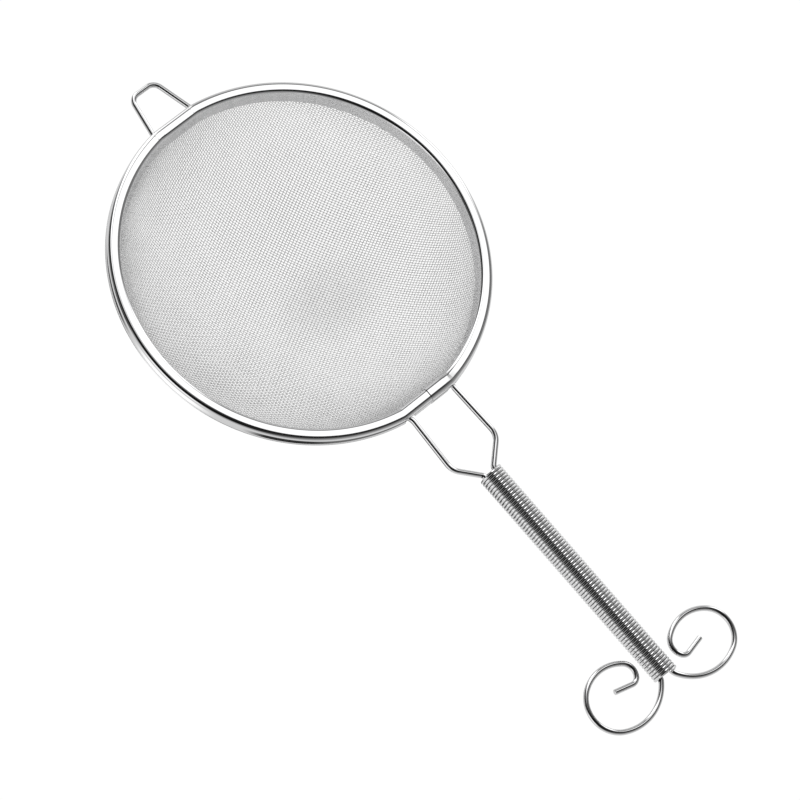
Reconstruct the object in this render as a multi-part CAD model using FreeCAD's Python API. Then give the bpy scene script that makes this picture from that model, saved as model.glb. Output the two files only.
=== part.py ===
"""Wire-mesh flour sifter: a sheet-steel rim bead, a wire frame, a woven bowl and a coil grip.

Millimetres. The rim lies level with its crown at z = 0 and the middle of its circle at the
origin. The bowl hangs below it, the handle runs along +X and the front hook along -X.
"left" is the -Y side and "right" the +Y side, seen from above with the handle towards +X.
"""
import FreeCAD, Part
import math
import os

from FreeCAD import Vector

# ---- driving dimensions -------------------------------------------------------------------
RIM_RADIUS = 100.0          # outermost edge of the bead
SHEET = 0.5                 # thickness of the rim's sheet
SKIRT_DROP = 6.3            # crown to the foot of the outer skirt
LIP_RADIUS = 1.4            # flare at the foot of the skirt
LIP_TURN = 50.0
OUTER_BEND = 2.0            # skirt to crown
INNER_BEND = 1.8            # crown to inner leg
LEG_DROP = 7.3              # crown to the foot of the inner leg
LEG_LEAN = 14.0             # degrees that the inner leg leans out of upright
BEAD_WIDTH = 8.7            # outermost edge to the foot of the inner leg

WIRE = 2.9                  # frame wire diameter
WIRE_LEVEL = -4.5           # height of the frame wire's centre
CLOTH = 0.8                 # thickness of the woven cloth
CLOTH_TO_LEG = 0.25         # clearances inside the bead
CLOTH_TO_HOOP = 0.2

BOWL_BASE_RADIUS = 105.0    # curvature of the bowl's middle
BOWL_BREAK = 45.0           # slope where the base meets the side
BOWL_BELOW_LEG = 0.7        # straight cloth that shows under the inner leg

LEG_AT_RIM = {-1: 12.85, 1: 16.2}   # from the handle's middle line to each wire at the rim
LEG_SPLAY = {-1: 3.2, 1: 1.3}       # degrees that each wire leans outwards from there
NECK_AT = 131.6             # from the rim's middle to the corner where the wires turn inwards
ROOT_BEND = 7.5             # hoop to handle wire
NECK_OUTER_BEND = 9.0
NECK_INNER_BEND = 2.2

GRIP_START = 143.6          # from the rim's middle to the coil's first end
GRIP_TURNS = 75.5           # the coil starts beneath the wires and ends above them
GRIP_WIRE = 1.73
TURN_GAP = 0.0175           # between neighbouring turns
GRIP_DIAMETER = 13.6        # over the turns
GRIP_FIT = 0.08             # handle wires to the bore of the coil
OVER_NECK = 0.9             # the coil's first end reaches this far over the necks' bends
OVER_SCROLL = 1.705         # its other end reaches this far over the scrolls' first bends
TURNS_PER_LENGTH = 25       # the coil is drawn in lengths of about this many turns

SCROLL_BENDS = {            # radius and turn of each bend; the two scrolls are bent by hand
    -1: [(2.4, 39.5), (26.0, 80.0), (15.6, 122.8), (20.5, 68.4), (6.6, 88.4), (4.2, 67.4)],
    1: [(7.7, 33.8), (26.1, 81.6), (14.0, 113.6), (21.1, 74.7), (7.2, 94.2), (4.0, 61.6)],
}
SCROLL_TAIL = 10.3          # straight end of each scroll

HOOK_TURN = 2.8             # degrees that the hook stands off the handle's line
HOOK_WIDTH = 25.3           # between its wires at the rim
HOOK_REACH = 120.8          # from the rim's middle to the hook's front wire
HOOK_TAPER = 13.0           # degrees that each side leans inwards
HOOK_BEND = 5.5
FOOT_GAP = 0.05             # the hook's feet stop this short of the hoop

HANDLE_FLAT = 9.5           # half the angle of the rim's flat between the handle wires
HOOK_FLAT = 7.3             # half the angle of the flat between the hook's wires
FLAT_CORNER = 14.0          # bend at each end of a flat
LAP_SEAM = 1.5              # the seam's distance from the middle of the handle flat
LAP_RAISED = 9.0            # length of the end that lies on top
LAP_UNDER = 5.5             # length of the end that lies beneath
LAP_RAMP = 4.5              # length over which the top end drops to its own level
LAP_GAP = 0.1

NOTCH_RISE = 0.45           # a notch's top above the wire that passes through it
HANDLE_NOTCH = 6.4          # widths of the notches in the skirt
HOOK_NOTCH = 4.6

# ---- derived sizes ------------------------------------------------------------------------
WIRE_RADIUS = WIRE / 2
LEAN = math.radians(LEG_LEAN)
GRIP_BORE_RADIUS = GRIP_DIAMETER / 2 - GRIP_WIRE
CORE_OFFSET = GRIP_BORE_RADIUS - WIRE_RADIUS - GRIP_FIT
GRIP_PITCH = GRIP_WIRE + TURN_GAP
GRIP_END = GRIP_START + GRIP_TURNS * GRIP_PITCH + GRIP_WIRE
WIRES_MEET = GRIP_START + OVER_NECK
WIRES_PART = GRIP_END - OVER_SCROLL
HOOP_STANDOFF = SHEET + CLOTH_TO_LEG + CLOTH + CLOTH_TO_HOOP + WIRE_RADIUS


def leg_face_radius(z):
    """Radius of the inner leg's inner face at height z."""
    return RIM_RADIUS - BEAD_WIDTH + (z + LEG_DROP) * math.tan(LEAN)


HOOP_RADIUS = leg_face_radius(WIRE_LEVEL) + HOOP_STANDOFF / math.cos(LEAN)


class Track:
    """A flat line of straight runs and round bends, each starting where the last one ended."""

    def __init__(self, a, b, heading):
        self.start = (a, b, math.radians(heading))
        self.steps = []

    def line(self, length):
        self.steps.append((None, length))
        return self

    def bend(self, radius, turn):
        """Turn by so many degrees, anticlockwise if positive."""
        self.steps.append((radius, math.radians(turn)))
        return self

    def points(self, offset=0.0):
        """Start, middle and end of each step, moved sideways to the left by offset."""
        a, b, heading = self.start
        found = []
        for radius, amount in self.steps:
            if radius is None:
                bits = [(a + amount * t * math.cos(heading), b + amount * t * math.sin(heading), heading)
                        for t in (0, 0.5, 1)]
            else:
                side = math.copysign(radius, amount)
                centre_a = a - side * math.sin(heading)
                centre_b = b + side * math.cos(heading)
                angles = [heading + amount * t for t in (0, 0.5, 1)]
                bits = [(centre_a + side * math.sin(h), centre_b - side * math.cos(h), h) for h in angles]
            found.append([(p - offset * math.sin(h), q + offset * math.cos(h)) for p, q, h in bits])
            a, b, heading = bits[-1]
        return found

    def edges(self, place, offset=0.0):
        """The track as edges in space, where place turns a flat point into a vector."""
        made = []
        for (radius, _), (first, middle, last) in zip(self.steps, self.points(offset)):
            if radius is None:
                made.append(Part.LineSegment(place(*first), place(*last)).toShape())
            else:
                made.append(Part.Arc(place(*first), place(*middle), place(*last)).toShape())
        return made


def strip_wire(track, thickness, place, lift=0.0):
    """Closed outline of a strip that lies evenly about the track, or lifted to its right."""
    left = track.edges(place, thickness / 2 - lift)
    right = track.edges(place, -thickness / 2 - lift)
    points = [track.points(thickness / 2 - lift), track.points(-thickness / 2 - lift)]
    first_cap = Part.LineSegment(place(*points[1][0][0]), place(*points[0][0][0])).toShape()
    last_cap = Part.LineSegment(place(*points[0][-1][-1]), place(*points[1][-1][-1])).toShape()
    return Part.Wire(Part.__sortEdges__(left + right + [first_cap, last_cap]))


def upright(a, b):
    """A flat point seen as radius and height, in the plane y = 0."""
    return Vector(a, 0, b)


def rod(track, level, diameter):
    """A round wire along a level track."""
    path = Part.Wire(track.edges(lambda a, b: Vector(a, b, level)))
    a, b, heading = track.start
    ring = Part.makeCircle(diameter / 2, Vector(a, b, level), Vector(math.cos(heading), math.sin(heading), 0))
    return path.makePipe(Part.Face(Part.Wire(ring))).Solids[0]


def fuse(shapes):
    """One clean solid out of shapes that touch."""
    return shapes[0].fuse(shapes[1:]).removeSplitter()


# ---- rim band -----------------------------------------------------------------------------
def bead_track():
    """Middle line of the bead's sheet, from the skirt's lip over the crown to the leg's foot."""
    half = SHEET / 2
    flare = math.radians(LIP_TURN)
    skirt_u = -half - LIP_RADIUS * (1 - math.cos(flare))
    lip_height = LIP_RADIUS * math.sin(flare)
    skirt_length = SKIRT_DROP - lip_height - OUTER_BEND - half
    leg_turn = 90 - LEG_LEAN
    leg_top = half + INNER_BEND * (1 - math.cos(math.radians(leg_turn)))
    leg_length = (LEG_DROP - leg_top) / math.cos(LEAN)
    leg_top_u = leg_face_radius(-leg_top) - RIM_RADIUS + half / math.cos(LEAN)
    crown_inner_u = leg_top_u + INNER_BEND * math.sin(math.radians(leg_turn))
    crown = skirt_u - OUTER_BEND - crown_inner_u
    track = Track(-half, -SKIRT_DROP, 90 + LIP_TURN)
    track.bend(LIP_RADIUS, -LIP_TURN).line(skirt_length).bend(OUTER_BEND, 90)
    return track.line(crown).bend(INNER_BEND, leg_turn).line(leg_length)


def flat_geometry(half_angle):
    """Distance of a flat from the rim's middle and half its straight length."""
    distance = RIM_RADIUS * math.cos(math.radians(half_angle))
    half_length = math.sqrt((RIM_RADIUS - FLAT_CORNER) ** 2 - (distance - FLAT_CORNER) ** 2)
    return distance, half_length


def placed(shape, turn):
    """The shape turned about the rim's axis."""
    copy = shape.copy()
    copy.rotate(Vector(0, 0, 0), Vector(0, 0, 1), turn)
    return copy


def bead_section(reference, lift=0.0):
    """Section of the bead in the plane y = 0, with its outermost edge at the reference radius."""
    return strip_wire(bead_track(), SHEET, lambda u, z: Vector(reference + u, 0, z), lift)


def straight_bead(distance, first, last, lift=0.0):
    """A straight length of bead that faces +X, from y = first to y = last."""
    face = Part.Face(bead_section(distance, lift))
    face.translate(Vector(0, first, 0))
    return face.extrude(Vector(0, last - first, 0))


def corner_bead(half_angle, side):
    """The bend from a flat that faces +X to the round rim, on the side of +Y or -Y."""
    distance, half_length = flat_geometry(half_angle)
    sweep = math.degrees(math.atan2(half_length, distance - FLAT_CORNER))
    face = Part.Face(bead_section(distance))
    face.translate(Vector(0, side * half_length, 0))
    centre = Vector(distance - FLAT_CORNER, side * half_length, 0)
    return face.revolve(centre, Vector(0, 0, 1), side * sweep), sweep


def round_bead(first, last):
    """The round bead between two angles."""
    face = placed(Part.Face(bead_section(RIM_RADIUS)), first)
    return face.revolve(Vector(0, 0, 0), Vector(0, 0, 1), last - first)


def lapped_flat():
    """The straight stretch at the handle, whose two ends lie one over the other."""
    distance, half_length = flat_geometry(HANDLE_FLAT)
    lift = SHEET + LAP_GAP
    raised_end = LAP_SEAM + LAP_RAISED
    ramp_end = raised_end + LAP_RAMP
    under = straight_bead(distance, -half_length, LAP_SEAM + LAP_UNDER)
    top = straight_bead(distance, LAP_SEAM, raised_end, lift)
    high = bead_section(distance, lift)
    high.translate(Vector(0, raised_end, 0))
    low = bead_section(distance)
    low.translate(Vector(0, ramp_end, 0))
    ramp = Part.makeLoft([high, low], True, True)
    rest = straight_bead(distance, ramp_end, half_length)
    return under, [top, ramp, rest]


def notch(radius, width):
    """Tool that cuts an arch through the skirt where a wire leaves along +X at y = 0."""
    half = width / 2
    top = WIRE_LEVEL + WIRE_RADIUS + NOTCH_RISE
    inner = radius - OUTER_BEND - SHEET
    depth = RIM_RADIUS * 1.04 - inner
    arch = Part.makeCylinder(half, depth, Vector(inner, 0, top - half), Vector(1, 0, 0))
    below = Part.makeBox(depth, width, SKIRT_DROP, Vector(inner, -half, top - half - SKIRT_DROP))
    return arch.fuse(below)


def hook_half_width(reach):
    """Half the distance between the hook's wires at a distance from the rim's middle."""
    return HOOK_WIDTH / 2 - (reach - RIM_RADIUS) * math.tan(math.radians(HOOK_TAPER))


def rim_band():
    """The bead: round, with a flat at the hook and a lapped flat at the handle."""
    under, top = lapped_flat()
    pieces_left = [under]
    pieces_right = list(top)
    angles = {}
    for side, group in ((-1, pieces_left), (1, pieces_right)):
        corner, angles[side] = corner_bead(HANDLE_FLAT, side)
        group.append(corner)
    hook_corners = [corner_bead(HOOK_FLAT, side) for side in (-1, 1)]
    hook_sweep = hook_corners[0][1]
    hook_distance, hook_half = flat_geometry(HOOK_FLAT)
    hook_facing = 180 + HOOK_TURN
    hook_flat = [straight_bead(hook_distance, -hook_half, hook_half)] + [c for c, _ in hook_corners]
    ring = [round_bead(angles[1], hook_facing - hook_sweep)]
    ring += [placed(piece, hook_facing) for piece in hook_flat]
    ring.append(round_bead(hook_facing + hook_sweep, 360 - angles[-1]))
    band = fuse(pieces_right + ring + pieces_left)
    distance, _ = flat_geometry(HANDLE_FLAT)
    for side in (-1, 1):
        tool = notch(distance, HANDLE_NOTCH)
        tool.translate(Vector(0, side * LEG_AT_RIM[side], 0))
        band = band.cut(tool)
        tool = notch(hook_distance, HOOK_NOTCH)
        tool.translate(Vector(0, side * hook_half_width(RIM_RADIUS), 0))
        band = band.cut(placed(tool, hook_facing))
    return band


# ---- frame wire ---------------------------------------------------------------------------
def root_centre(side):
    """Middle of the bend between the hoop and a handle wire, drawn on the +Y side."""
    splay = math.radians(LEG_SPLAY[side])
    along = (math.cos(splay), math.sin(splay))
    at_rim = (flat_geometry(HANDLE_FLAT)[0], LEG_AT_RIM[side])
    base = (at_rim[0] - ROOT_BEND * along[1], at_rim[1] + ROOT_BEND * along[0])
    reach = base[0] * along[0] + base[1] * along[1]
    gap = (HOOP_RADIUS + ROOT_BEND) ** 2 - base[0] ** 2 - base[1] ** 2
    shift = math.sqrt(reach ** 2 + gap) - reach
    return base[0] + shift * along[0], base[1] + shift * along[1]


def root_angle(side):
    """Angle at which the hoop runs over into a handle wire."""
    a, b = root_centre(side)
    return math.degrees(math.atan2(b, a))


def hoop_wire():
    """The part of the frame wire that lies in the bead."""
    first = root_angle(1)
    sweep = 360 - first - root_angle(-1)
    start = math.radians(first)
    track = Track(HOOP_RADIUS * math.cos(start), HOOP_RADIUS * math.sin(start), first + 90)
    for _ in range(4):
        track.bend(HOOP_RADIUS, sweep / 4)
    return rod(track, WIRE_LEVEL, WIRE)


def neck_turn(drop):
    """Angle at which a wire runs inwards from its corner to come in by so much at the grip."""
    run = WIRES_MEET - NECK_AT
    slack = drop - 2 * NECK_INNER_BEND
    half = (math.sqrt(run ** 2 + drop * slack) - run) / slack
    return 2 * math.atan(half)


def handle_track(side):
    """Middle line of a handle wire, drawn on the +Y side and mirrored for the other."""
    angle = root_angle(side)
    start = math.radians(angle)
    splay = math.radians(LEG_SPLAY[side])
    centre_a, centre_b = root_centre(side)
    root_a = centre_a + ROOT_BEND * math.sin(splay)
    root_b = centre_b - ROOT_BEND * math.cos(splay)
    corner_b = root_b + (NECK_AT - root_a) * math.tan(splay)
    turn = neck_turn(corner_b - CORE_OFFSET)
    outer_cut = NECK_OUTER_BEND * math.tan((turn + splay) / 2)
    inner_cut = NECK_INNER_BEND * math.tan(turn / 2)
    leg = (NECK_AT - root_a) / math.cos(splay) - outer_cut
    neck = (corner_b - CORE_OFFSET) / math.sin(turn) - outer_cut - inner_cut
    track = Track(HOOP_RADIUS * math.cos(start), side * HOOP_RADIUS * math.sin(start), side * (angle - 90))
    track.bend(ROOT_BEND, side * (90 - angle + LEG_SPLAY[side])).line(leg)
    track.bend(NECK_OUTER_BEND, -side * (math.degrees(turn) + LEG_SPLAY[side])).line(neck)
    track.bend(NECK_INNER_BEND, side * math.degrees(turn)).line(WIRES_PART - WIRES_MEET)
    for radius, bend in SCROLL_BENDS[side]:
        track.bend(radius, side * bend)
    return track.line(SCROLL_TAIL)


def handle_wire(side):
    """A handle wire, from the hoop through the grip to the end of its scroll."""
    return rod(handle_track(side), WIRE_LEVEL, WIRE)


def front_hook():
    """The bent wire opposite the handle, whose feet stand in the bead."""
    taper = math.radians(HOOK_TAPER)
    hoop_outside = HOOP_RADIUS + WIRE_RADIUS
    nearest = hook_half_width(hoop_outside) - WIRE_RADIUS
    foot = math.sqrt(hoop_outside ** 2 - nearest ** 2) + FOOT_GAP + WIRE_RADIUS * math.sin(taper)
    corner_cut = HOOK_BEND * math.tan(math.radians(90 - HOOK_TAPER) / 2)
    side_length = (HOOK_REACH - foot) / math.cos(taper) - corner_cut
    front_length = 2 * (hook_half_width(HOOK_REACH) - corner_cut)
    track = Track(foot, hook_half_width(foot), -HOOK_TAPER)
    track.line(side_length).bend(HOOK_BEND, HOOK_TAPER - 90).line(front_length)
    track.bend(HOOK_BEND, HOOK_TAPER - 90).line(side_length)
    return placed(rod(track, WIRE_LEVEL, WIRE), 180 + HOOK_TURN)


# ---- bowl and grip ------------------------------------------------------------------------
def mesh_bowl():
    """The woven cloth as one thin closed shell, its edge hooked over the hoop inside the bead."""
    middle = SHEET + CLOTH_TO_LEG + CLOTH / 2
    slope = 90 - LEG_LEAN
    break_angle = math.radians(BOWL_BREAK)
    join_z = -LEG_DROP - BOWL_BELOW_LEG
    join_r = leg_face_radius(join_z) + middle / math.cos(LEAN)
    side_rise = math.sin(math.radians(slope)) - math.sin(break_angle)
    side_radius = (join_r - BOWL_BASE_RADIUS * math.sin(break_angle)) / side_rise
    base_height = BOWL_BASE_RADIUS * (1 - math.cos(break_angle))
    side_height = side_radius * (math.cos(break_angle) - math.cos(math.radians(slope)))
    hem_radius = WIRE_RADIUS + CLOTH_TO_HOOP + CLOTH / 2
    hem_z = WIRE_LEVEL + hem_radius * math.sin(LEAN)
    track = Track(0, join_z - base_height - side_height, 0)
    track.bend(BOWL_BASE_RADIUS, BOWL_BREAK).bend(side_radius, slope - BOWL_BREAK)
    track.line((hem_z - join_z) / math.cos(LEAN)).bend(hem_radius, -slope)
    face = Part.Face(strip_wire(track, CLOTH, upright))
    return face.revolve(Vector(0, 0, 0), Vector(0, 0, 1), 360)


def coil_grip():
    """The close-wound coil that both handle wires run through, made in lengths of a few turns."""
    radius = (GRIP_DIAMETER - GRIP_WIRE) / 2
    climb = GRIP_PITCH / (2 * math.pi * radius)
    count = math.ceil(GRIP_TURNS / TURNS_PER_LENGTH)
    turns = GRIP_TURNS / count
    sides = []
    for index in range(count):
        helix = Part.makeHelix(GRIP_PITCH, GRIP_PITCH * turns, radius)
        ring = Part.makeCircle(GRIP_WIRE / 2, Vector(radius, 0, 0), Vector(0, 1, climb))
        length = Part.Wire(helix).makePipeShell([Part.Wire(ring)], True, True)
        length.rotate(Vector(0, 0, 0), Vector(0, 0, 1), 360 * turns * index)
        length.translate(Vector(0, 0, GRIP_PITCH * turns * index))
        side, *caps = sorted(length.Faces, key=lambda face: -face.Area)
        caps.sort(key=lambda face: face.CenterOfMass.z)
        sides.append(side)
        if index == 0:
            first_cap = caps[0]
    skin = Part.makeCompound(sides + [first_cap, caps[-1]])
    skin.sewShape()
    coil = Part.Solid(skin.Shells[0])
    coil.rotate(Vector(0, 0, 0), Vector(0, 1, 0), 90)
    coil.translate(Vector(GRIP_START + GRIP_WIRE / 2, 0, WIRE_LEVEL))
    return coil


NODES = {
    "rim_band": rim_band,
    "hoop_wire": hoop_wire,
    "handle_wire_left": lambda: handle_wire(-1),
    "handle_wire_right": lambda: handle_wire(1),
    "front_hook": front_hook,
    "mesh_bowl": mesh_bowl,
    "coil_grip": coil_grip,
}


def main():
    """Build every node and write it to its own STEP file."""
    os.makedirs("parts", exist_ok=True)
    for name, build in NODES.items():
        shape = build()
        box = shape.BoundBox
        print(name, "solids", len(shape.Solids), "valid", shape.isValid(), "volume", round(shape.Volume, 1),
              "x", round(box.XMin, 2), round(box.XMax, 2), "y", round(box.YMin, 2), round(box.YMax, 2),
              "z", round(box.ZMin, 2), round(box.ZMax, 2))
        shape.exportStep("parts/" + name + ".step")


main()
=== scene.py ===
"""Studio model of a wire-mesh flour sifter: sheet-steel rim, wire frame, woven bowl and coil grip.

Lengths are metres. The rim lies level with its crown at z = 0 and the middle of its circle at the
origin. The bowl hangs below it, the handle runs along +X and the front hook along -X.
"""
import logging
import math
from dataclasses import dataclass, field
from enum import Enum

import bpy
import numpy as np
from mathutils import Matrix, Vector


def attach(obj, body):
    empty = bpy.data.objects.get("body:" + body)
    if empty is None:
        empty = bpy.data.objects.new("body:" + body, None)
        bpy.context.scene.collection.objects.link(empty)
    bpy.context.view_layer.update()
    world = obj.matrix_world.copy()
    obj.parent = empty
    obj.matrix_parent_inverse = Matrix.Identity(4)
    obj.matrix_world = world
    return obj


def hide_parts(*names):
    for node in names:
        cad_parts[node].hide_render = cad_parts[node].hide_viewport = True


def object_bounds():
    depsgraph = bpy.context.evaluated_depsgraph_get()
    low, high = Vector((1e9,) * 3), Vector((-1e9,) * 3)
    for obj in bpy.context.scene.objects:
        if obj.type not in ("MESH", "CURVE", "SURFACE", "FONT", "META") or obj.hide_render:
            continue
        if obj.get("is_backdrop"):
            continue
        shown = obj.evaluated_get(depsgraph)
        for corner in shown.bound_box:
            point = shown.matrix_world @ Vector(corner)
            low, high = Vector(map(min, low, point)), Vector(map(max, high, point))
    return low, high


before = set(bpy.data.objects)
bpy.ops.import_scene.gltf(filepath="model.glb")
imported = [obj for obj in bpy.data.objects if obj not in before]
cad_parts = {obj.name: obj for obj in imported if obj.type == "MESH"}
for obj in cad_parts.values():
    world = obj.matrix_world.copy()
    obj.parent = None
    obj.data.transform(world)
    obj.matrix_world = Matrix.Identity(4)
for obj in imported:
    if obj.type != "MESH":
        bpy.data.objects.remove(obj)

Array = np.ndarray
Socket = bpy.types.NodeSocket
Colour = tuple[float, float, float]
Input = Socket | float | tuple[float, ...] | Vector
MM = 0.001
BODY = "root"
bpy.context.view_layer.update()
log = logging.getLogger("sifter")


# ---- flat tracks --------------------------------------------------------------------------
class Track:
    """A flat line of straight runs and round bends, each starting where the last one ended."""

    def __init__(self, a: float, b: float, heading: float) -> None:
        """Start a track.

        Args:
            a: first coordinate of the start.
            b: second coordinate of the start.
            heading: direction of travel in degrees.
        """
        self.starts: list[tuple[float, float, float]] = [(a, b, math.radians(heading))]
        self.lengths: list[float] = []
        self.curls: list[float] = []

    def line(self, length: float) -> "Track":
        """Add a straight run."""
        return self.step(length, 0.0)

    def bend(self, radius: float, turn: float) -> "Track":
        """Add a round bend of so many degrees, anticlockwise if positive."""
        return self.step(radius * math.radians(abs(turn)), math.copysign(1 / radius, turn))

    def step(self, length: float, curl: float) -> "Track":
        """Add a step of the given length and curvature."""
        a, b, heading = self.starts[-1]
        self.lengths.append(length)
        self.curls.append(curl)
        end = heading + curl * length
        if curl:
            a += (math.sin(end) - math.sin(heading)) / curl
            b -= (math.cos(end) - math.cos(heading)) / curl
        else:
            a += length * math.cos(heading)
            b += length * math.sin(heading)
        self.starts.append((a, b, end))
        return self

    @property
    def length(self) -> float:
        """Whole length of the track."""
        return sum(self.lengths)

    def at(self, distance: Array) -> tuple[Array, Array]:
        """Points and headings at distances along the track.

        A straight run adds distance times the heading's cosine and sine. A bend of curvature c
        adds the change of the heading's sine over c, and takes off the change of its cosine over c.

        Args:
            distance: distances from the start, in any order.

        Returns:
            The points, one row each, and the headings in radians.
        """
        ends = np.cumsum(self.lengths)
        on = np.clip(np.searchsorted(ends, distance, side="left"), 0, len(ends) - 1)
        a, b, heading = np.array(self.starts[:-1])[on].T
        along = distance - (ends - np.array(self.lengths))[on]
        curl = np.array(self.curls)[on]
        safe = np.where(curl == 0, 1.0, curl)
        turned = heading + curl * along
        straight = curl == 0
        a = a + np.where(straight, along * np.cos(heading), (np.sin(turned) - np.sin(heading)) / safe)
        b = b + np.where(straight, along * np.sin(heading), (np.cos(heading) - np.cos(turned)) / safe)
        return np.stack([a, b], axis=1), turned

    def stations(self, spacing: float, per_bend: float) -> Array:
        """Distances at which the track is cut into short lengths.

        Args:
            spacing: longest length on a straight run.
            per_bend: largest turn between two stations, in degrees.

        Returns:
            Rising distances, with every step's start and end among them.
        """
        cuts = [np.zeros(1)]
        begin = 0.0
        for length, curl in zip(self.lengths, self.curls):
            turn = math.degrees(abs(curl) * length)
            count = max(1, math.ceil(length / spacing), math.ceil(turn / per_bend))
            cuts.append(begin + length * np.arange(1, count + 1) / count)
            begin += length
        return np.concatenate(cuts)


# ---- meshes -------------------------------------------------------------------------------
@dataclass
class Skin:
    """Points and faces of a surface, with a place on its own map for each corner of each face."""

    points: Array
    faces: list[Array] = field(default_factory=list)
    maps: list[Array] = field(default_factory=list)

    def signed_volume(self) -> float:
        """Volume inside the faces, negative if they point inwards."""
        total = 0.0
        for group in self.faces:
            first = self.points[group[:, 0]]
            for k in range(1, group.shape[1] - 1):
                second, third = self.points[group[:, k]], self.points[group[:, k + 1]]
                total += float(np.einsum("ij,ij->", first, np.cross(second, third))) / 6
        return total

    def turned_out(self) -> "Skin":
        """The same surface with its faces pointing outwards."""
        if self.signed_volume() >= 0:
            return self
        return Skin(self.points, [g[:, ::-1] for g in self.faces], [m[:, ::-1] for m in self.maps])


def grid_faces(rows: int, columns: int, around: bool) -> tuple[Array, Array]:
    """Quads between neighbours of a grid, and the grid places of their corners.

    Args:
        rows: number of rows, from one end of the surface to the other.
        columns: number of points in a row.
        around: True if the last column joins the first.

    Returns:
        Point numbers of each quad's corners, and (row, column) of each corner, unwrapped.
    """
    last = columns if around else columns - 1
    row, column = (part.ravel() for part in np.meshgrid(np.arange(rows - 1), np.arange(last), indexing="ij"))
    places = np.stack([np.stack([row, column], 1), np.stack([row + 1, column], 1),
                       np.stack([row + 1, column + 1], 1), np.stack([row, column + 1], 1)], axis=1)
    return places[..., 0] * columns + places[..., 1] % columns, places


def unit(rows: Array) -> Array:
    """The same vectors, each of length 1."""
    return rows / np.maximum(np.linalg.norm(rows, axis=-1, keepdims=True), 1e-12)


def make_object(name: str, skin: Skin, sharp: float | None = None) -> bpy.types.Object:
    """Put a surface into the scene as a smooth-shaded mesh object at the origin.

    Args:
        name: name of the piece.
        skin: its points and faces.
        sharp: edges that turn by more than so many degrees stay sharp; none if left out.

    Returns:
        The new object.
    """
    mesh = bpy.data.meshes.new(name)
    corners = np.concatenate([g.ravel() for g in skin.faces]).astype(np.int32)
    sizes = np.concatenate([np.full(len(g), g.shape[1]) for g in skin.faces]).astype(np.int32)
    mesh.vertices.add(len(skin.points))
    mesh.vertices.foreach_set("co", skin.points.astype(np.float32).ravel())
    mesh.loops.add(len(corners))
    mesh.loops.foreach_set("vertex_index", corners)
    mesh.polygons.add(len(sizes))
    starts = np.concatenate([[0], np.cumsum(sizes)[:-1]]).astype(np.int32)
    mesh.polygons.foreach_set("loop_start", starts)
    mesh.polygons.foreach_set("loop_total", sizes)
    mesh.polygons.foreach_set("use_smooth", np.ones(len(sizes), dtype=bool))
    if skin.maps:
        places = np.concatenate([m.reshape(-1, 2) for m in skin.maps]).astype(np.float32)
        mesh.uv_layers.new(name="UVMap").data.foreach_set("uv", places.ravel())
    mesh.update(calc_edges=True)
    if sharp is not None:
        mesh.set_sharp_from_angle(angle=math.radians(sharp))
    piece = bpy.data.objects.new(name, mesh)
    bpy.context.scene.collection.objects.link(piece)
    return piece


def tube(points: Array, distance: Array, girth: float) -> Skin:
    """Skin of the rings along a wire, closed at both ends.

    Args:
        points: ring points by ring, side and coordinate.
        distance: distance of each ring along the wire.
        girth: distance around the wire.

    Returns:
        The closed skin, mapped by length and by distance around.
    """
    rings, sides = points.shape[:2]
    quads, places = grid_faces(rings, sides, True)
    uv = np.stack([distance[places[..., 0]], places[..., 1] * (girth / sides)], axis=-1)
    caps = np.stack([np.arange(sides)[::-1], np.arange(sides) + (rings - 1) * sides])
    return Skin(points.reshape(-1, 3), [quads, caps], [uv, np.zeros((2, sides, 2))]).turned_out()


def round_wire(track: Track, level: float, radius: float, sides: int, chamfer: float) -> Skin:
    """Skin of a round wire along a level track, closed at both ends.

    A point is the track's point plus the radius times the cosine of its angle sideways and times
    the sine upwards. The rings at the two ends are a little smaller, as on a cut wire.

    Args:
        track: middle line, seen from above.
        level: height of the middle line.
        radius: radius of the wire.
        sides: number of sides of the ring.
        chamfer: width and length of the chamfer at each end.

    Returns:
        The closed skin, mapped by length and by distance around.
    """
    distance = track.stations(2.0 * MM, 2.5)
    distance = np.concatenate([[0.0], [chamfer], distance[distance > chamfer]])
    last = track.length - chamfer
    distance = np.concatenate([distance[distance < last], [last, track.length]])
    sizes = np.full(len(distance), radius)
    sizes[[0, -1]] -= chamfer
    middle, heading = track.at(distance)
    angle = np.arange(sides) * 2 * math.pi / sides
    side = np.cos(angle)[None, :] * sizes[:, None]
    up = np.sin(angle)[None, :] * sizes[:, None]
    x = middle[:, :1] - np.sin(heading)[:, None] * side
    y = middle[:, 1:] + np.cos(heading)[:, None] * side
    return tube(np.stack([x, y, level + up], axis=-1), distance, 2 * math.pi * radius)


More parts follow.
